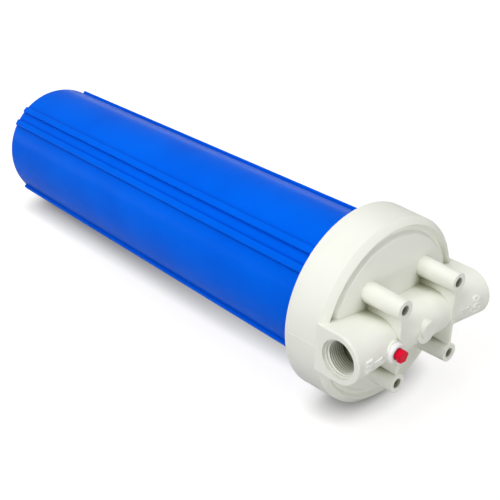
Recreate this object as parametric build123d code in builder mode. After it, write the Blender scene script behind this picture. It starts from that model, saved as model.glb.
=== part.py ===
from build123d import *
from math import atan2, cos, degrees, radians, sin
import os

# Water filter housing, lying on its side, in millimetres.
# X is the housing's axis, with the cap at +X. Y runs from the inlet port to the outlet port.
# The origin is the middle of the four bracket bosses, in the plane of their faces.

# Cap skirt and top
skirt_rear_x = -84.6
skirt_front_x = -47.3
crest_x = -42.4
skirt_rear_r = 92.0
skirt_front_r = 90.7
crest_r = 84.0
channel_depth = 4.0
channel_floor_r = (81.6, 78.2)
deck_edge_r = 75.4
deck_crown_x = -37.5
skirt_mouth_r = 84.8
roof_x = -50.0

# Thread between cap and sump
thread_pitch = 8.0
thread_turns = 1.75
neck_r = 78.6
neck_tooth_r = 82.6
cap_thread_r = 83.4
cap_tooth_r = 79.4
tooth_root_width = 4.0
tooth_crest_width = 2.0
tooth_embed = 0.4
sump_tooth_x = -76.0
cap_tooth_x = sump_tooth_x - thread_pitch / 2

# Sump
sump_end_x = -600.0
sump_edge_r = 10.0
body_far_r = 69.7
body_near_r = 71.0
body_near_x = -86.5
neck_start_x = -80.5
rim_x = -54.0
rim_inner_r = 68.0
wall = 5.0
sump_floor_x = -592.0
rib_height = 3.5
rib_width = 7.4
rib_rounding = 1.4
rib_pair_angles = (47.4, 137.4, 227.4, 317.4)
rib_half_angle = 7.35
rib_far_x = -590.5
rib_near_x = -83.0
end_dish_r = 46.0
end_dish_depth = 2.0

# Seal ring in the sump's rim
seal_face_x = -53.0
seal_r = 73.6
seal_section_r = 2.8
seal_groove_depth = 3.8
seal_groove_half_width = 3.2

# Port barrel
port_x = -22.9
port_face_y = 90.4
barrel_port_r = 23.4
barrel_mid_r = 20.6
barrel_mid_y = 42.0
barrel_foot_x = -48.5
barrel_edge = 0.8
mouth_r = 17.9
mouth_depth = 3.4
port_thread_r = 16.6
port_thread_length = 23.0
passage_r = 12.5
inlet_passage_end_y = -18.0
outlet_passage_end_y = -12.0
inlet_drop_y = -46.0
inlet_drop_r = 8.5

# Bracket bosses and webs
boss_pitch = 73.0
boss_face_r = 8.9
boss_root_r = 10.2
boss_root_x = -44.0
boss_screw_r = 4.6
boss_mouth_edge = 0.3
boss_screw_depth = 22.0
web_thickness = 3.6
web_front_x = -1.2
pad_z = 2.4
pad_root_r = 9.6
pad_face_r = 8.6
pad_face_x = 1.2
nose_r = 13.4
nose_face_x = -1.4

# Relief valve
relief_y = -44.0
relief_z = -1.6
spot_r = 10.4
spot_x = -1.4
collar_r = 9.6
collar_edge_x = 0.2
collar_face_r = 7.4
collar_face_x = 2.5
recess_r = 5.6
recess_x = -2.6
shank_r = 7.0
shank_end_x = -16.0
shank_hole_r = 7.1
body_seal_section_r = 0.7
stem_r = 1.8
stem_bore_r = 2.4
stem_groove_r = 1.3
knob_r = 5.5
knob_lobe_r = 2.4
knob_lobe_ring_r = 3.8
knob_lobes = 5
knob_lobe_angle = 12
knob_x = (5.4, 9.2)
knob_edge = 0.9
neck_x = 0.6
neck_outer_r = 5.0
neck_inner_r = 4.3
spring_pocket_r = 4.6
spring_pocket_x = -8.0
spring_r = 3.5
spring_wire_r = 0.5
spring_turns = 4
stem_seal_r = 4.4
stem_seal_thickness = 1.6
retainer_r = 3.0
retainer_thickness = 1.0
stem_end_x = -20.0

# Cartridge
cartridge_top_x = -80.0
cartridge_length = 508.0
cartridge_r = 57.0
end_cap_thickness = 9.0
end_cap_lip = 6.0
end_cap_hole_r = 16.0
gasket_thickness = 3.0
gasket_r = 27.0
pleat_count = 48
pleat_inner_r = 24.0
pleat_outer_r = 54.0
pleat_thickness = 1.6
core_r = 21.0
core_bore_r = 17.5
core_slot_rows = 6
core_slot_columns = 8
core_slot_length = 42.0
core_slot_width = 8.0

# Seats for the cartridge in cap and sump
nipple_r = 13.5
nipple_bore_r = 9.5
nipple_end_x = -94.0
seat_ring_r = (24.0, 20.5)
seat_disc_x = -77.0
seat_disc_thickness = 4.0
seat_cone_x = -60.0
stub_r = 12.0
stub_length = 14.0

cartridge_bottom_x = cartridge_top_x - cartridge_length
body_slope = (body_near_r - body_far_r) / (body_near_x - sump_end_x - sump_edge_r)


def body_radius(x):
    """Outer radius of the sump's drafted body at a place along the axis."""
    return body_far_r + body_slope * (x - sump_end_x - sump_edge_r)


def thread_tooth(root_r, tip_r, x_start):
    """One helical tooth about the housing's axis, sunk a little into the wall at its root."""
    side = 1 if tip_r > root_r else -1
    flank = (tooth_root_width - tooth_crest_width) / 2 / abs(tip_r - root_r)
    base = tooth_root_width / 2 + tooth_embed * flank
    top = tooth_crest_width / 2
    sunk_r = root_r - side * tooth_embed
    path = Helix(thread_pitch, thread_pitch * thread_turns, root_r)
    with BuildPart() as tooth:
        with BuildSketch(Plane.XZ) as section:
            with BuildLine():
                Polyline((sunk_r, -base), (tip_r, -top), (tip_r, top), (sunk_r, base), close=True)
            make_face()
        sweep(sections=section.sketch, path=path, is_frenet=True)
    along_x = Plane((x_start, 0, 0), x_dir=(0, 1, 0), z_dir=(1, 0, 0))
    return along_x.location * tooth.part


def port_outline(radius):
    """D outline of the port barrel: round in front, with straight flanks down to the cap's top."""
    with BuildLine() as outline:
        front = CenterArc((port_x, 0), radius, -90, 180)
        Polyline(front @ 1, (barrel_foot_x, radius), (barrel_foot_x, -radius), front @ 0)
    return outline.line


cap_tooth = thread_tooth(cap_thread_r, cap_tooth_r, cap_tooth_x)
sump_tooth = thread_tooth(neck_r, neck_tooth_r, sump_tooth_x)
barrel_sections = (
    (port_face_y, port_outline(barrel_port_r - barrel_edge)),
    (port_face_y - barrel_edge, port_outline(barrel_port_r)),
    (barrel_mid_y, port_outline(barrel_mid_r)),
)
relief_axis = Axis((0, relief_y, relief_z), (1, 0, 0))
relief_half_plane = Plane((0, relief_y, relief_z), x_dir=(1, 0, 0), z_dir=(0, 0, 1))


def relief_plane(x):
    """Plane across the relief valve's axis at a place along it."""
    return Plane((x, relief_y, relief_z), x_dir=(0, 1, 0), z_dir=(1, 0, 0))


# Cap: one moulding with skirt, top, barrel, bosses, webs and the cartridge's upper seat
with BuildPart() as housing_cap:
    with BuildSketch(Plane.XY):
        with BuildLine():
            inside = Polyline((roof_x, 0), (roof_x, 69.0), (seal_face_x, 69.0), (seal_face_x, cap_thread_r),
                              (cap_tooth_x - 3.0, cap_thread_r), (skirt_rear_x + 1.5, skirt_mouth_r),
                              (skirt_rear_x, skirt_mouth_r), (skirt_rear_x, skirt_rear_r - 1.0),
                              (skirt_rear_x + 1.0, skirt_rear_r), (skirt_front_x, skirt_front_r))
            rim = ThreePointArc(inside @ 1, (crest_x - 2.3, 87.8), (crest_x, crest_r + 0.6))
            channel = Polyline(rim @ 1, (crest_x - 0.5, crest_r),
                               (crest_x - channel_depth, channel_floor_r[0]),
                               (crest_x - channel_depth, channel_floor_r[1]),
                               (crest_x - 0.8, deck_edge_r + 0.4), (crest_x, deck_edge_r - 0.6))
            deck = ThreePointArc(channel @ 1, (crest_x + 3.6, 40.0), (deck_crown_x, 0))
            Line(deck @ 1, inside @ 0)
        make_face()
    revolve(axis=Axis.X)

    # Barrel, wider at its ports than in the middle
    for y, outline in barrel_sections:
        with BuildSketch(Plane.XZ.offset(y)):
            make_face(outline)
    half_barrel = loft(ruled=True)
    mirror(half_barrel, about=Plane.XZ)
    with BuildSketch(Plane.XZ.offset(-barrel_mid_y)):
        make_face(port_outline(barrel_mid_r))
    extrude(amount=2 * barrel_mid_y)

    # Bracket bosses, joined in pairs by a web over the barrel
    with BuildSketch(Plane.YZ.offset(boss_root_x)):
        with GridLocations(boss_pitch, boss_pitch, 2, 2):
            Circle(boss_root_r)
    extrude(amount=-boss_root_x, taper=degrees(atan2(boss_root_r - boss_face_r, -boss_root_x)))
    with BuildSketch(Plane.YZ.offset(boss_root_x)):
        with GridLocations(boss_pitch, boss_pitch, 2, 1):
            Rectangle(web_thickness, boss_pitch)
    extrude(amount=web_front_x - boss_root_x)

    # Half-round nose in the middle of the barrel, a spot face for the relief valve, and a round pad on the
    # nose, its seam turned clear of the barrel's edges
    with BuildSketch(Plane.YZ.offset(port_x)):
        with Locations((0, pad_z)):
            Circle(nose_r)
            Rectangle(2 * nose_r, nose_r, align=(Align.CENTER, Align.MIN), mode=Mode.SUBTRACT)
    extrude(amount=nose_face_x - port_x)
    with BuildSketch(relief_plane(port_x)):
        Circle(spot_r)
    extrude(amount=spot_x - port_x)
    with BuildSketch(Plane((port_x, 0, pad_z), x_dir=(0, 3, 4), z_dir=(1, 0, 0))):
        Circle(pad_root_r)
    extrude(amount=pad_face_x - port_x, taper=degrees(atan2(pad_root_r - pad_face_r, pad_face_x - port_x)))

    # Upper seat: a nipple into the cartridge and a ridge that presses on its gasket
    with BuildSketch(Plane.XY):
        with BuildLine():
            Polyline((roof_x + 1, 0), (roof_x + 1, nipple_r), (seat_cone_x, nipple_r),
                     (seat_disc_x + seat_disc_thickness, gasket_r), (seat_disc_x, gasket_r),
                     (seat_disc_x, seat_ring_r[0]), (cartridge_top_x, seat_ring_r[0] - 0.8),
                     (cartridge_top_x, seat_ring_r[1] + 0.8), (seat_disc_x, seat_ring_r[1]),
                     (seat_disc_x, nipple_r), (nipple_end_x + 2, nipple_r), (nipple_end_x, nipple_r - 1),
                     (nipple_end_x, 0), close=True)
        make_face()
    revolve(axis=Axis.X)
    add(cap_tooth)

    # Port mouths, thread lengths and passages
    for face_plane, passage_length in (
            (Plane.XZ.offset(port_face_y), port_face_y + inlet_passage_end_y),
            (Plane.XZ.offset(-port_face_y).rotated((180, 0, 0)), port_face_y - outlet_passage_end_y)):
        for radius, depth in ((mouth_r, mouth_depth), (port_thread_r, mouth_depth + port_thread_length),
                              (passage_r, passage_length)):
            with BuildSketch(face_plane):
                with Locations((port_x, 0)):
                    Circle(radius)
            extrude(amount=-depth, mode=Mode.SUBTRACT)
    with BuildSketch(Plane.YZ.offset(port_x)):
        with Locations((inlet_drop_y, 0)):
            Circle(inlet_drop_r)
    extrude(amount=roof_x - port_x - 2, mode=Mode.SUBTRACT)
    with BuildSketch(Plane.YZ.offset(port_x)):
        Circle(nipple_bore_r)
    extrude(amount=nipple_end_x - port_x - 1, mode=Mode.SUBTRACT)

    # Screw holes in the bosses and the hole for the relief valve
    with Locations(Plane.YZ):
        with GridLocations(boss_pitch, boss_pitch, 2, 2):
            Hole(boss_screw_r, boss_screw_depth)
    with BuildSketch(Plane.YZ):
        with GridLocations(boss_pitch, boss_pitch, 2, 2):
            Circle(boss_screw_r + boss_mouth_edge)
    extrude(amount=-boss_mouth_edge, taper=45, mode=Mode.SUBTRACT)
    for radius, depth in ((shank_hole_r, spot_x - port_x),
                          (shank_hole_r + 2 * body_seal_section_r, 1.5 * body_seal_section_r)):
        with BuildSketch(relief_plane(spot_x)):
            Circle(radius)
        extrude(amount=-depth, mode=Mode.SUBTRACT)
    # Nothing of the barrel or web stands in front of the valve's spot face
    with BuildSketch(relief_plane(spot_x)):
        Circle(spot_r)
    extrude(amount=-2 * spot_x, mode=Mode.SUBTRACT)

# Sump: drafted cup with paired grip ribs and a threaded neck
with BuildPart() as sump:
    with BuildSketch(Plane.XY):
        with BuildLine():
            bottom = Polyline((sump_end_x + end_dish_depth, 0), (sump_end_x + end_dish_depth, end_dish_r),
                              (sump_end_x, end_dish_r + 4), (sump_end_x, body_far_r - sump_edge_r))
            edge = ThreePointArc(bottom @ 1,
                                 (sump_end_x + sump_edge_r * (1 - sin(radians(45))),
                                  body_far_r - sump_edge_r * (1 - cos(radians(45)))),
                                 (sump_end_x + sump_edge_r, body_far_r))
            groove_floor_x = rim_x - seal_groove_depth
            outside = Polyline(edge @ 1, (body_near_x, body_near_r), (neck_start_x, neck_r), (rim_x, neck_r),
                               (rim_x, seal_r + seal_groove_half_width),
                               (groove_floor_x, seal_r + seal_groove_half_width),
                               (groove_floor_x, seal_r - seal_groove_half_width),
                               (rim_x, seal_r - seal_groove_half_width), (rim_x, rim_inner_r),
                               (neck_start_x, rim_inner_r), (body_near_x - 4, body_near_r - wall),
                               (sump_floor_x + 6, body_far_r - wall))
            inner_edge = ThreePointArc(outside @ 1, (sump_floor_x + 1.8, body_far_r - wall - 1.8),
                                       (sump_floor_x, body_far_r - wall - 6))
            Polyline(inner_edge @ 1, (sump_floor_x, seat_ring_r[0]),
                     (cartridge_bottom_x, seat_ring_r[0] - 0.8), (cartridge_bottom_x, seat_ring_r[1] + 0.8),
                     (sump_floor_x, seat_ring_r[1]), (sump_floor_x, stub_r),
                     (sump_floor_x + stub_length - 2, stub_r), (sump_floor_x + stub_length, stub_r - 2),
                     (sump_floor_x + stub_length, 0), bottom @ 0)
        make_face()
    revolve(axis=Axis.X)
    for pair_angle in rib_pair_angles:
        for angle in (pair_angle - rib_half_angle, pair_angle + rib_half_angle):
            for x in (rib_far_x, rib_near_x):
                low, high = body_radius(x) - 2.0, body_radius(x) + rib_height
                with BuildSketch(Plane.YZ.offset(x)) as rib_section:
                    with PolarLocations((low + high) / 2, 1, start_angle=angle):
                        Rectangle(high - low, rib_width)
                    fillet(rib_section.vertices().sort_by_distance((0, 0))[-2:], rib_rounding)
            loft()
    add(sump_tooth)

# Seal ring: an O-ring flattened between the sump's groove and the cap
with BuildPart() as sump_seal_ring:
    with BuildSketch(Plane.XY):
        with Locations(((seal_face_x + rim_x - seal_groove_depth) / 2, seal_r)):
            Circle(seal_section_r)
            Rectangle(seal_face_x - rim_x + seal_groove_depth, 3 * seal_section_r, mode=Mode.INTERSECT)
    revolve(axis=Axis.X)

# Relief valve body: domed collar outside, shank down into the inlet passage
with BuildPart() as relief_valve_body:
    with BuildSketch(relief_half_plane):
        with BuildLine():
            shank = Polyline((shank_end_x, stem_bore_r), (shank_end_x, shank_r), (spot_x, shank_r),
                             (spot_x, collar_r), (collar_edge_x, collar_r))
            dome = ThreePointArc(shank @ 1, (collar_edge_x + 1.5, collar_r - 0.8), (collar_face_x, collar_face_r))
            Polyline(dome @ 1, (collar_face_x, recess_r), (recess_x, recess_r), (recess_x, spring_pocket_r),
                     (spring_pocket_x, spring_pocket_r), (spring_pocket_x, stem_bore_r), shank @ 0)
        make_face()
    revolve(axis=relief_axis)

# O-ring under the collar
with BuildPart() as relief_body_seal:
    with BuildSketch(relief_half_plane):
        with Locations((spot_x - 0.75 * body_seal_section_r, shank_hole_r + body_seal_section_r)):
            Circle(body_seal_section_r)
            Rectangle(1.5 * body_seal_section_r, 3 * body_seal_section_r, mode=Mode.INTERSECT)
    revolve(axis=relief_axis)

# Relief button: lobed knob with a hollow neck round the spring, on a stem grooved for the retainer
with BuildPart() as relief_button:
    with BuildSketch(relief_plane(knob_x[0])) as knob_outline:
        Circle(knob_r)
        with PolarLocations(knob_lobe_ring_r, knob_lobes, start_angle=knob_lobe_angle):
            Circle(knob_lobe_r)
        fillet(knob_outline.vertices(), knob_edge)
    extrude(amount=knob_x[1] - knob_x[0])
    fillet(relief_button.faces().sort_by(Axis.X)[-1].edges(), knob_edge)
    with BuildSketch(relief_plane(neck_x)):
        Circle(neck_outer_r)
        Circle(neck_inner_r, mode=Mode.SUBTRACT)
    extrude(amount=knob_x[0] - neck_x)
    with BuildSketch(relief_plane(stem_end_x)):
        Circle(stem_r)
    extrude(amount=knob_x[0] - stem_end_x + 1)
    with BuildSketch(relief_plane(shank_end_x - stem_seal_thickness)):
        Circle(stem_r + 1)
        Circle(stem_groove_r, mode=Mode.SUBTRACT)
    extrude(amount=-retainer_thickness, mode=Mode.SUBTRACT)

# Soft washer that closes the valve
with BuildPart() as relief_stem_seal:
    with BuildSketch(relief_plane(shank_end_x)):
        Circle(stem_seal_r)
        Circle(stem_r, mode=Mode.SUBTRACT)
    extrude(amount=-stem_seal_thickness)

# Clip in the stem's groove, open on one side
with BuildPart() as relief_retainer:
    with BuildSketch(relief_plane(shank_end_x - stem_seal_thickness)):
        Circle(retainer_r)
        Circle(stem_groove_r, mode=Mode.SUBTRACT)
        with Locations((0, -retainer_r)):
            Rectangle(1.6 * stem_groove_r, 2 * retainer_r, mode=Mode.SUBTRACT)
    extrude(amount=-retainer_thickness)

# Return spring between the pocket's floor and the knob
spring_length = knob_x[0] - spring_pocket_x - 2 * spring_wire_r
coil = Helix(spring_length / spring_turns, spring_length, spring_r)
with BuildPart() as upright_spring:
    with BuildSketch(Plane(coil @ 0, z_dir=coil % 0)) as wire_section:
        RegularPolygon(spring_wire_r, 6)
    sweep(sections=wire_section.sketch, path=coil, is_frenet=True)
relief_spring = relief_plane(spring_pocket_x + spring_wire_r).location * upright_spring.part

# Cartridge core: slotted tube
core_low_x = cartridge_bottom_x + gasket_thickness + end_cap_thickness - end_cap_lip
core_high_x = cartridge_top_x - gasket_thickness - end_cap_thickness + end_cap_lip
with BuildPart() as cartridge_core:
    with BuildSketch(Plane.YZ.offset(core_low_x)):
        Circle(core_r)
        Circle(core_bore_r, mode=Mode.SUBTRACT)
    extrude(amount=core_high_x - core_low_x)
    slot_pitch = (core_high_x - core_low_x - 2 * end_cap_lip) / core_slot_columns
    for row in range(core_slot_rows // 2):
        slot_plane = Plane.XY.rotated((180 * row / (core_slot_rows / 2), 0, 0))
        with BuildSketch(slot_plane):
            with Locations(((core_low_x + core_high_x) / 2, 0)):
                with GridLocations(slot_pitch, 1, core_slot_columns, 1):
                    Rectangle(core_slot_length, core_slot_width)
        extrude(amount=core_r + 1, both=True, mode=Mode.SUBTRACT)

# Cartridge media: one folded sheet, as a star of pleats
media_low_x = cartridge_bottom_x + gasket_thickness + end_cap_thickness
media_high_x = cartridge_top_x - gasket_thickness - end_cap_thickness
pleat_step = radians(360 / pleat_count)
pleat_points = []
for pleat in range(pleat_count):
    for radius, turn in ((pleat_outer_r, -0.10), (pleat_outer_r, 0.10), (pleat_inner_r, 0.40), (pleat_inner_r, 0.60)):
        angle = (pleat + turn) * pleat_step
        pleat_points.append((radius * cos(angle), radius * sin(angle)))
with BuildPart() as cartridge_media:
    with BuildSketch(Plane.YZ.offset(media_low_x)):
        with BuildLine():
            Polyline(*pleat_points, close=True)
        make_face()
        Circle(pleat_inner_r - pleat_thickness, mode=Mode.SUBTRACT)
    extrude(amount=media_high_x - media_low_x)

# Cartridge end caps and flat gaskets, the same at both ends
end_caps = {}
gaskets = {}
for end, face_x, inward in (("top", cartridge_top_x, -1), ("bottom", cartridge_bottom_x, 1)):
    cap_face_x = face_x + inward * gasket_thickness
    with BuildPart() as end_cap:
        with BuildSketch(Plane.YZ.offset(cap_face_x)):
            Circle(cartridge_r)
            Circle(end_cap_hole_r, mode=Mode.SUBTRACT)
        extrude(amount=inward * end_cap_thickness)
        with BuildSketch(Plane.YZ.offset(cap_face_x + inward * end_cap_thickness)):
            Circle(core_r)
        extrude(amount=-inward * end_cap_lip, mode=Mode.SUBTRACT)
        with BuildSketch(Plane.YZ.offset(cap_face_x + inward * end_cap_thickness)):
            Circle(cartridge_r)
            Circle(pleat_outer_r + 0.5, mode=Mode.SUBTRACT)
        extrude(amount=inward * end_cap_lip)
    with BuildPart() as gasket:
        with BuildSketch(Plane.YZ.offset(face_x)):
            Circle(gasket_r)
            Circle(end_cap_hole_r, mode=Mode.SUBTRACT)
        extrude(amount=inward * gasket_thickness)
    end_caps[end] = end_cap.part
    gaskets[end] = gasket.part

pieces = {
    "housing_cap": housing_cap.part,
    "sump": sump.part,
    "sump_seal_ring": sump_seal_ring.part,
    "relief_valve_body": relief_valve_body.part,
    "relief_body_seal": relief_body_seal.part,
    "relief_button": relief_button.part,
    "relief_stem_seal": relief_stem_seal.part,
    "relief_retainer": relief_retainer.part,
    "relief_spring": relief_spring,
    "cartridge_core": cartridge_core.part,
    "cartridge_media": cartridge_media.part,
    "cartridge_cap_top": end_caps["top"],
    "cartridge_cap_bottom": end_caps["bottom"],
    "cartridge_gasket_top": gaskets["top"],
    "cartridge_gasket_bottom": gaskets["bottom"],
}

os.makedirs("parts", exist_ok=True)
for name, part in pieces.items():
    part.label = name
    export_step(part, f"parts/{name}.step")
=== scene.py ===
import bpy
import bmesh
from math import cos, radians, sin, tau
from mathutils import Matrix, Vector


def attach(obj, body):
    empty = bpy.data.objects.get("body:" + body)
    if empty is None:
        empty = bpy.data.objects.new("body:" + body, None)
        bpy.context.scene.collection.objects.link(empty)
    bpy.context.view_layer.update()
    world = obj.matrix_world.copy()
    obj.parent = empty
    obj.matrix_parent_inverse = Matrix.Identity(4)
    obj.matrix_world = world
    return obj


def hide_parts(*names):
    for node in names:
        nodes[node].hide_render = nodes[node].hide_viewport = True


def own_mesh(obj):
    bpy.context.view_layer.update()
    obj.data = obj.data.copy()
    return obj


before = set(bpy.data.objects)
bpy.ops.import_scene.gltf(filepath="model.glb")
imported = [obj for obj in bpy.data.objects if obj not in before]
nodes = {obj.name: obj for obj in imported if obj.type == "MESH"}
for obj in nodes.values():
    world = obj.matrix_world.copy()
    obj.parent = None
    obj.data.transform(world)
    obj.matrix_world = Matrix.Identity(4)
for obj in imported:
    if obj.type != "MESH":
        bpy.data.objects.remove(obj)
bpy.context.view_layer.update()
scene = bpy.context.scene
millimetre = 0.001


# Camera, solved from the photograph's port, rim, boss and rib outlines
cameraPlace = {
    "position": (388.7, -573.2, 426.9),
    "right": (0.6715, 0.7407, 0.0212),
    "up": (-0.3541, 0.2956, 0.8873),
    "lens": 66.15,
    "sensor": 36.0,
}


def placeCamera():
    right = Vector(cameraPlace["right"]).normalized()
    back = right.cross(Vector(cameraPlace["up"])).normalized()
    turn = Matrix((right, back.cross(right), back)).transposed()
    data = bpy.data.cameras.new("photo_camera")
    data.lens = cameraPlace["lens"]
    data.sensor_width = cameraPlace["sensor"]
    camera = bpy.data.objects.new("photo_camera", data)
    camera.matrix_world = Matrix.Translation(Vector(cameraPlace["position"]) * millimetre) @ turn.to_4x4()
    scene.collection.objects.link(camera)
    scene.camera = camera


placeCamera()
print("camera placed")


def addNode(tree, kind, values={}):
    node = tree.nodes.new(kind)
    for socket, value in values.items():
        node.inputs[socket].default_value = value
    return node


# Moulded plastic, rubber, steel and paper: cloudy colour, uneven gloss and a fine grain in the surface.
# Each finish below says only where it differs from this one.
plainFinish = {
    "cloudScale": 14,
    "cloudDetail": 4,
    "cloudStops": (0.35, 0.65),
    "grainScale": 900,
    "grainDetail": 3,
    "grainDepth": 0.03,
    "grainStrength": 0.3,
    "ior": 1.45,
    "sheenColour": (1, 1, 1),
    "metal": 0,
    "corners": None,
    "cornerSamples": 8,
}


# Painted shade in corners and bores: how open the surface is within cornerReach picks a shade tone to multiply the
# colour by
def paintCornerShade(tree, finish, colour):
    openness = addNode(tree, "ShaderNodeAmbientOcclusion", {"Distance": finish["cornerReach"] * millimetre})
    openness.samples = finish["cornerSamples"]
    shade = tree.nodes.new("ShaderNodeValToRGB")
    shade.color_ramp.interpolation = "EASE"
    shade.color_ramp.elements.new(0.5)
    for stop, (position, tone) in zip(shade.color_ramp.elements, finish["corners"]):
        stop.position = position
        stop.color = (*tone, 1)
    # Sockets 6 and 7 are this node's two colours, and output 2 is their product
    darkened = addNode(tree, "ShaderNodeMix", {"Factor": 1})
    darkened.data_type = "RGBA"
    darkened.blend_type = "MULTIPLY"
    tree.links.new(openness.outputs["AO"], shade.inputs["Fac"])
    tree.links.new(colour, darkened.inputs[6])
    tree.links.new(shade.outputs["Color"], darkened.inputs[7])
    return darkened.outputs[2]


def cloudyFinish(name, changes):
    finish = {**plainFinish, **changes}
    material = bpy.data.materials.new(name)
    material.use_nodes = True
    tree = material.node_tree
    shader = tree.nodes["Principled BSDF"]
    place = tree.nodes.new("ShaderNodeTexCoord")

    clouds = addNode(tree, "ShaderNodeTexNoise", {"Scale": finish["cloudScale"], "Detail": finish["cloudDetail"]})
    ramp = tree.nodes.new("ShaderNodeValToRGB")
    tones = (finish["dark"], finish["light"])
    for stop, position, tone in zip(ramp.color_ramp.elements, finish["cloudStops"], tones):
        stop.position = position
        stop.color = (*tone, 1)
    tree.links.new(place.outputs["Object"], clouds.inputs["Vector"])
    tree.links.new(clouds.outputs["Fac"], ramp.inputs["Fac"])
    colour = ramp.outputs["Color"]
    # Painted shade: the colour is darkened in corners and bores
    if finish["corners"]:
        colour = paintCornerShade(tree, finish, colour)
    tree.links.new(colour, shader.inputs["Base Color"])

    smoothest, roughest = finish["roughness"]
    gloss = addNode(tree, "ShaderNodeMapRange", {"To Min": smoothest, "To Max": roughest})
    tree.links.new(clouds.outputs["Fac"], gloss.inputs["Value"])
    tree.links.new(gloss.outputs["Result"], shader.inputs["Roughness"])

    grain = addNode(tree, "ShaderNodeTexNoise", {"Scale": finish["grainScale"], "Detail": finish["grainDetail"]})
    bump = addNode(tree, "ShaderNodeBump", {"Distance": finish["grainDepth"] * millimetre,
                                            "Strength": finish["grainStrength"]})
    tree.links.new(place.outputs["Object"], grain.inputs["Vector"])
    tree.links.new(grain.outputs["Fac"], bump.inputs["Height"])
    tree.links.new(bump.outputs["Normal"], shader.inputs["Normal"])

    shader.inputs["IOR"].default_value = finish["ior"]
    shader.inputs["Specular Tint"].default_value = (*finish["sheenColour"], 1)
    shader.inputs["Metallic"].default_value = finish["metal"]
    return material


# Painted corner shade tones are pairs: how open the surface is, and the shade tone painted there
finishes = {
    "capWhite": {
        "dark": (0.82, 0.83, 0.755),
        "light": (0.85, 0.86, 0.785),
        "roughness": (0.36, 0.46),
        # Painted shade: olive-dark deep in the ports and boss holes, greyer in the crevices round bosses, webs and
        # barrel
        "cornerReach": 34,
        "corners": ((0.03, (0.05, 0.05, 0.025)), (0.2, (0.42, 0.43, 0.3)), (0.45, (1, 1, 1))),
    },
    # Painted highlight: the raised marks are the cap's own plastic, made lighter than capWhite for the light their
    # ridges catch
    "markLitWhite": {
        "dark": (0.94, 0.945, 0.9),
        "light": (0.96, 0.965, 0.92),
        "roughness": (0.3, 0.4),
    },
    "sumpBlue": {
        "dark": (0.0, 0.112, 0.77),
        "light": (0.0, 0.127, 0.83),
        "roughness": (0.2, 0.27),
        "ior": 1.12,
        "sheenColour": (0.1, 0.6, 1.0),
        # Painted shade along the roots of the grip ribs
        "cornerReach": 7,
        "corners": ((0.3, (0.2, 0.42, 0.55)), (0.62, (0.6, 0.72, 0.82)), (0.92, (1, 1, 1))),
    },
    "collarWhite": {
        "dark": (0.88, 0.88, 0.87),
        "light": (0.91, 0.91, 0.9),
        "roughness": (0.2, 0.28),
        # Painted shade, near black, in the collar's recess round the knob's neck
        "cornerReach": 5,
        "corners": ((0.1, (0.05, 0.04, 0.04)), (0.3, (0.4, 0.4, 0.4)), (0.6, (1, 1, 1))),
    },
    "knobRed": {
        "dark": (0.68, 0.0, 0.02),
        "light": (0.76, 0.0, 0.032),
        "roughness": (0.2, 0.28),
        "ior": 1.35,
        "sheenColour": (1.0, 0.35, 0.4),
        # Painted shade on the knob's neck, under its head
        "cornerReach": 9,
        "corners": ((0.2, (0.08, 0.05, 0.05)), (0.5, (0.5, 0.5, 0.5)), (0.8, (1, 1, 1))),
    },
    "sealBlack": {"dark": (0.018, 0.018, 0.018), "light": (0.03, 0.03, 0.03), "roughness": (0.5, 0.65)},
    "wireSteel": {"dark": (0.5, 0.5, 0.51), "light": (0.6, 0.6, 0.61), "roughness": (0.22, 0.34), "metal": 1},
    "coreWhite": {"dark": (0.8, 0.81, 0.83), "light": (0.86, 0.87, 0.88), "roughness": (0.45, 0.55)},
    "paperCream": {
        "dark": (0.78, 0.76, 0.69),
        "light": (0.86, 0.84, 0.78),
        "roughness": (0.8, 0.9),
        "grainScale": 1600,
        "grainDepth": 0.1,
    },
}
materials = {name: cloudyFinish(name, finish) for name, finish in finishes.items()}

nodeFinishes = {
    "housing_cap": "capWhite",
    "sump": "sumpBlue",
    "sump_seal_ring": "sealBlack",
    "relief_valve_body": "collarWhite",
    "relief_body_seal": "sealBlack",
    "relief_button": "knobRed",
    "relief_stem_seal": "sealBlack",
    "relief_retainer": "wireSteel",
    "relief_spring": "wireSteel",
    "cartridge_core": "coreWhite",
    "cartridge_media": "paperCream",
    "cartridge_cap_top": "coreWhite",
    "cartridge_cap_bottom": "coreWhite",
    "cartridge_gasket_top": "sealBlack",
    "cartridge_gasket_bottom": "sealBlack",
}
for name, finish in nodeFinishes.items():
    nodes[name].data.materials.clear()
    nodes[name].data.materials.append(materials[finish])
print("finishes made and given to the housing's parts")


sharpEdge = 35  # degrees, beyond which an edge is left sharp


def showOnCap(name, mesh, finish="capWhite"):
    mesh.shade_smooth()
    mesh.set_sharp_from_angle(angle=radians(sharpEdge))
    mesh.materials.append(materials[finish])
    piece = bpy.data.objects.new(name, mesh)
    scene.collection.objects.link(piece)
    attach(piece, "cap")


# Turns a built shell into a mesh with its faces outward
def meshFromShell(name, shell):
    bmesh.ops.recalc_face_normals(shell, faces=shell.faces)
    mesh = bpy.data.meshes.new(name)
    shell.to_mesh(mesh)
    shell.free()
    return mesh


# A closed skin over a row of rings of points, in millimetres
def skinRings(name, rings):
    shell = bmesh.new()
    rows = [[shell.verts.new(Vector(point) * millimetre) for point in ring] for ring in rings]
    for low, high in zip(rows, rows[1:]):
        for index in range(len(low)):
            after = (index + 1) % len(low)
            shell.faces.new((low[index], low[after], high[after], high[index]))
    shell.faces.new(rows[0])
    shell.faces.new(rows[-1])
    return meshFromShell(name, shell)


# Port barrel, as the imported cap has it: its axis, its ends, and how its front swells towards them
barrel = {"axisX": -22.9, "faceY": 90.4, "middleY": 42.0, "middleRadius": 20.6, "portRadius": 23.4}


def barrelRadius(y):
    swell = max(0, abs(y) - barrel["middleY"]) / (barrel["faceY"] - barrel["middleY"])
    return barrel["middleRadius"] + swell * (barrel["portRadius"] - barrel["middleRadius"])


def barrelPoint(y, angle, radius):
    return barrel["axisX"] + radius * cos(angle), y, radius * sin(angle)


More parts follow.
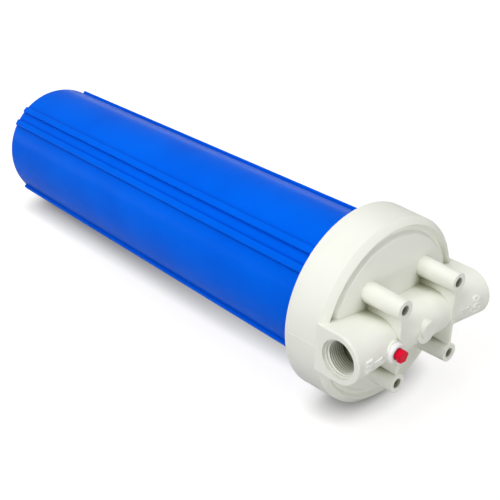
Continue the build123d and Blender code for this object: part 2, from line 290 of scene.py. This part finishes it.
# Pipe threads in both ports, 11 turns to the inch, standing in from the bore's wall.
# They fade into the wall at both ends, and leastFade keeps their tips from closing to nothing.
pipeThread = {
    "wallRadius": 16.6,
    "depthBelowFace": 4.6,
    "pitch": 2.31,
    "turns": 8.8,
    "height": 1.5,
    "rootWidth": 2.2,
    "crestWidth": 0.4,
    "sunk": 0.2,
    "fadeTurns": 0.6,
    "leastFade": 0.02,
    "stepsPerTurn": 72,
}


def cutPipeThread(name, side):
    rings = []
    turns = pipeThread["turns"]
    steps = round(turns * pipeThread["stepsPerTurn"])
    root = pipeThread["wallRadius"] + pipeThread["sunk"]
    halfRoot, halfCrest = pipeThread["rootWidth"] / 2, pipeThread["crestWidth"] / 2
    for step in range(steps + 1):
        turn = turns * step / steps
        fromEnd = min(turn, turns - turn) + pipeThread["leastFade"]
        fade = min(1, fromEnd / pipeThread["fadeTurns"])
        crest = root - (pipeThread["height"] + pipeThread["sunk"]) * fade
        middleY = barrel["faceY"] - pipeThread["depthBelowFace"] - pipeThread["pitch"] * turn
        angle = -side * tau * turn
        profile = ((root, -halfRoot), (crest, -halfCrest), (crest, halfCrest), (root, halfRoot))
        rings.append([(barrel["axisX"] + radius * sin(angle), side * (middleY + along), radius * cos(angle))
                      for radius, along in profile])
    showOnCap(name, skinRings(name, rings))


cutPipeThread("inlet_thread", -1)
cutPipeThread("outlet_thread", 1)
print("pipe threads cut")


# Raised flow marks on the front of the barrel, letters upright along the flow
flowMarks = {
    "inlet_mark": {"word": "IN", "wordY": (-81.4, -73.4), "wordWidth": 11.0, "arrowY": (-71.6, -56.0), "angle": -1},
    "outlet_mark": {"word": "OUT", "wordY": (65.6, 74.6), "wordWidth": 17.0, "arrowY": (48.5, 63.6), "angle": 5},
}
markShape = {
    "height": 1.4,
    "sunk": 0.3,
    "shaftWidth": 1.5,
    "headWidth": 5.2,
    "headLength": 4.2,
    "rounding": 0.3,
    "thickness": 0.1,
    "letterSwell": 0.012,
    "letterRounding": 0.04,
    "letterSteps": 4,
    "weld": 0.001,
}


# A flat outline as a solid stamp: across its width, along the barrel, and up to the marks' height
def stampMesh(curve, width, alongLow, alongHigh):
    curve.dimensions = "2D"
    curve.extrude = markShape["thickness"]
    holder = bpy.data.objects.new(curve.name, curve)
    scene.collection.objects.link(holder)
    bpy.context.view_layer.update()
    mesh = bpy.data.meshes.new_from_object(holder.evaluated_get(bpy.context.evaluated_depsgraph_get()))
    bpy.data.objects.remove(holder)
    corners = [vertex.co.copy() for vertex in mesh.vertices]
    low = Vector([min(corner[axis] for corner in corners) for axis in range(3)])
    high = Vector([max(corner[axis] for corner in corners) for axis in range(3)])
    for vertex in mesh.vertices:
        share = Vector([(vertex.co[axis] - low[axis]) / (high[axis] - low[axis]) for axis in range(3)])
        vertex.co = ((share.x - 0.5) * width, alongLow + share.y * (alongHigh - alongLow),
                     share.z * (markShape["height"] + markShape["sunk"]) - markShape["sunk"])
    return mesh


def raiseMark(name, mark):
    text = bpy.data.curves.new(name + "_text", "FONT")
    text.body = mark["word"]
    text.resolution_u = markShape["letterSteps"]
    text.offset = markShape["letterSwell"]
    text.bevel_depth = markShape["letterRounding"]
    arrow = bpy.data.curves.new(name + "_arrow", "CURVE")
    low, high = mark["arrowY"]
    shaft, head = markShape["shaftWidth"] / 2, markShape["headWidth"] / 2
    neck = high - markShape["headLength"]
    outline = arrow.splines.new("POLY")
    corners = [(-shaft, low), (shaft, low), (shaft, neck), (head, neck), (0, high), (-head, neck), (-shaft, neck)]
    outline.points.add(len(corners) - 1)
    for point, corner in zip(outline.points, corners):
        point.co = (*corner, 0, 1)
    outline.use_cyclic_u = True
    arrow.bevel_depth = markShape["rounding"]

    # Both stamps are wrapped round the barrel
    shell = bmesh.new()
    shell.from_mesh(stampMesh(text, mark["wordWidth"], *mark["wordY"]))
    shell.from_mesh(stampMesh(arrow, markShape["headWidth"], low, high))
    bmesh.ops.remove_doubles(shell, verts=shell.verts, dist=markShape["weld"])
    for vertex in shell.verts:
        across, y, rise = vertex.co
        radius = barrelRadius(y)
        angle = radians(mark["angle"]) - across / radius
        vertex.co = Vector(barrelPoint(y, angle, radius + rise)) * millimetre
    showOnCap(name, meshFromShell(name, shell), "markLitWhite")


for name, mark in flowMarks.items():
    raiseMark(name, mark)
print("flow marks raised")


# Parting line of the cap's mould, a fine bead along the skirt on both sides, in line with the ports
partingLine = {
    "rearX": -80.0,
    "rearRadius": 91.83,
    "frontX": -47.6,
    "frontRadius": 90.7,
    "width": 0.7,
    "height": 0.16,
    "sunk": 0.3,
    "steps": 12,
}


def runPartingLine(name, side):
    rings = []
    halfWidth = partingLine["width"] / 2
    for step in range(partingLine["steps"] + 1):
        share = step / partingLine["steps"]
        x = partingLine["rearX"] + share * (partingLine["frontX"] - partingLine["rearX"])
        radius = partingLine["rearRadius"] + share * (partingLine["frontRadius"] - partingLine["rearRadius"])
        root, crest = radius - partingLine["sunk"], radius + partingLine["height"]
        rings.append([(x, side * root, -halfWidth), (x, side * crest, 0), (x, side * root, halfWidth)])
    showOnCap(name, skinRings(name, rings))


runPartingLine("inlet_side_parting_line", -1)
runPartingLine("outlet_side_parting_line", 1)
print("parting lines run")


def fitReliefSpring():
    node = nodes["relief_spring"]
    coil = bpy.data.objects.new("relief_coil", node.data.copy())
    coil.matrix_world = node.matrix_world.copy()
    scene.collection.objects.link(coil)
    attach(coil, "cap")
    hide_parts("relief_spring")
    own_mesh(coil)


fitReliefSpring()
print("relief spring fitted")


# Floor: the housing rests on its cap and on the far end of the sump, so it leans against the floor
floorPlace = {"normal": (0.044, -0.063, 0.997), "drop": -95.7, "size": 8.0}
# The camera sees the lit colour and a glow, which is dimmer near the housing and rises far from it; under the
# housing a painted contact shadow, from ambient occlusion within contactReach, darkens the glow. All other rays see
# a plain pale floor.
floorFinish = {
    "bounce": (0.55, 0.55, 0.55),
    "lit": (0.275, 0.264, 0.242),
    "glow": 0.83,
    "farGlow": 0.99,
    "nearReach": 0.4,
    "farReach": 1.2,
    "contactReach": 0.03,
    "contactRange": (0.0, 0.9),
    "contactShade": 0.03,
    "contactSamples": 16,
}


def floorGlowWithPaintedShadow(tree):
    place = tree.nodes.new("ShaderNodeTexCoord")
    reach = tree.nodes.new("ShaderNodeVectorMath")
    reach.operation = "LENGTH"
    spread = addNode(tree, "ShaderNodeMapRange", {
        "From Min": floorFinish["nearReach"],
        "From Max": floorFinish["farReach"],
        "To Min": floorFinish["glow"],
        "To Max": floorFinish["farGlow"],
    })
    # Painted contact shadow: ambient occlusion within contactReach dims the glow under the housing, down to
    # contactShade
    contact = addNode(tree, "ShaderNodeAmbientOcclusion", {"Distance": floorFinish["contactReach"]})
    contact.samples = floorFinish["contactSamples"]
    darkest, clear = floorFinish["contactRange"]
    paintedContactShadow = addNode(tree, "ShaderNodeMapRange", {
        "From Min": darkest,
        "From Max": clear,
        "To Min": floorFinish["contactShade"],
    })
    strength = tree.nodes.new("ShaderNodeMath")
    strength.operation = "MULTIPLY"
    tree.links.new(place.outputs["Object"], reach.inputs[0])
    tree.links.new(reach.outputs["Value"], spread.inputs["Value"])
    tree.links.new(contact.outputs["AO"], paintedContactShadow.inputs["Value"])
    tree.links.new(spread.outputs["Result"], strength.inputs[0])
    tree.links.new(paintedContactShadow.outputs["Result"], strength.inputs[1])
    return strength.outputs["Value"]


def floorMaterial():
    material = bpy.data.materials.new("floor_white")
    material.use_nodes = True
    tree = material.node_tree
    tree.nodes.clear()
    bounce = addNode(tree, "ShaderNodeBsdfDiffuse", {"Color": (*floorFinish["bounce"], 1)})
    lit = addNode(tree, "ShaderNodeBsdfDiffuse", {"Color": (*floorFinish["lit"], 1)})
    glow = tree.nodes.new("ShaderNodeEmission")
    seen = tree.nodes.new("ShaderNodeAddShader")
    rays = tree.nodes.new("ShaderNodeLightPath")
    choice = tree.nodes.new("ShaderNodeMixShader")
    output = tree.nodes.new("ShaderNodeOutputMaterial")
    tree.links.new(floorGlowWithPaintedShadow(tree), glow.inputs["Strength"])
    tree.links.new(lit.outputs["BSDF"], seen.inputs[0])
    tree.links.new(glow.outputs["Emission"], seen.inputs[1])
    tree.links.new(rays.outputs["Is Camera Ray"], choice.inputs["Fac"])
    tree.links.new(bounce.outputs["BSDF"], choice.inputs[1])
    tree.links.new(seen.outputs["Shader"], choice.inputs[2])
    tree.links.new(choice.outputs["Shader"], output.inputs["Surface"])
    return material


def layFloor():
    normal = Vector(floorPlace["normal"]).normalized()
    half = floorPlace["size"] / 2
    mesh = bpy.data.meshes.new("floor")
    mesh.from_pydata([(-half, -half, 0), (half, -half, 0), (half, half, 0), (-half, half, 0)], [], [(0, 1, 2, 3)])
    mesh.materials.append(floorMaterial())
    floor = bpy.data.objects.new("floor", mesh)
    floor.matrix_world = (Matrix.Translation(normal * floorPlace["drop"] * millimetre)
                          @ normal.to_track_quat("Z", "Y").to_matrix().to_4x4())
    scene.collection.objects.link(floor)


layFloor()
print("floor laid")


# Lamps: a soft key lamp from the upper left, one overhead, which keeps the shadow close, and a low one in front
lamps = {
    "overhead": {"from": (-0.25, 0.1, 1.7), "size": 1.2, "power": 10.5},
    "key": {"from": (-0.1, -1.2, 1.55), "size": 1.0, "power": 18.6},
    "front": {"from": (2.0, 0.0, 0.6), "size": 1.2, "power": 8.0},
}
lampTarget = (-0.2, 0, 0)


def hangLamps():
    target = Vector(lampTarget)
    for name, lamp in lamps.items():
        data = bpy.data.lights.new(name, "AREA")
        data.size = lamp["size"]
        data.energy = lamp["power"]
        piece = bpy.data.objects.new(name, data)
        piece.location = Vector(lamp["from"])
        piece.rotation_mode = "QUATERNION"
        piece.rotation_quaternion = (target - piece.location).to_track_quat("-Z", "Y")
        scene.collection.objects.link(piece)


# Studio walls: pale at the horizon, darker towards the ceiling, and plain white where the camera sees them
walls = {"horizon": 2.35, "ceiling": 0.25, "ceilingHeight": 0.16, "seen": 1.0, "colour": (1, 1, 1)}


def paintWalls():
    world = bpy.data.worlds.new("studio")
    scene.world = world
    world.use_nodes = True
    tree = world.node_tree
    colour = (*walls["colour"], 1)
    light = tree.nodes["Background"]
    light.inputs["Color"].default_value = colour
    seen = addNode(tree, "ShaderNodeBackground", {"Color": colour, "Strength": walls["seen"]})
    place = tree.nodes.new("ShaderNodeTexCoord")
    split = tree.nodes.new("ShaderNodeSeparateXYZ")
    fade = addNode(tree, "ShaderNodeMapRange", {
        "From Max": walls["ceilingHeight"],
        "To Min": walls["horizon"],
        "To Max": walls["ceiling"],
    })
    rays = tree.nodes.new("ShaderNodeLightPath")
    choice = tree.nodes.new("ShaderNodeMixShader")
    tree.links.new(place.outputs["Generated"], split.inputs["Vector"])
    tree.links.new(split.outputs["Z"], fade.inputs["Value"])
    tree.links.new(fade.outputs["Result"], light.inputs["Strength"])
    tree.links.new(rays.outputs["Is Camera Ray"], choice.inputs["Fac"])
    tree.links.new(light.outputs["Background"], choice.inputs[1])
    tree.links.new(seen.outputs["Background"], choice.inputs[2])
    tree.links.new(choice.outputs["Shader"], tree.nodes["World Output"].inputs["Surface"])


hangLamps()
paintWalls()
scene.view_settings.view_transform = "Standard"
print("lamps hung and walls painted")
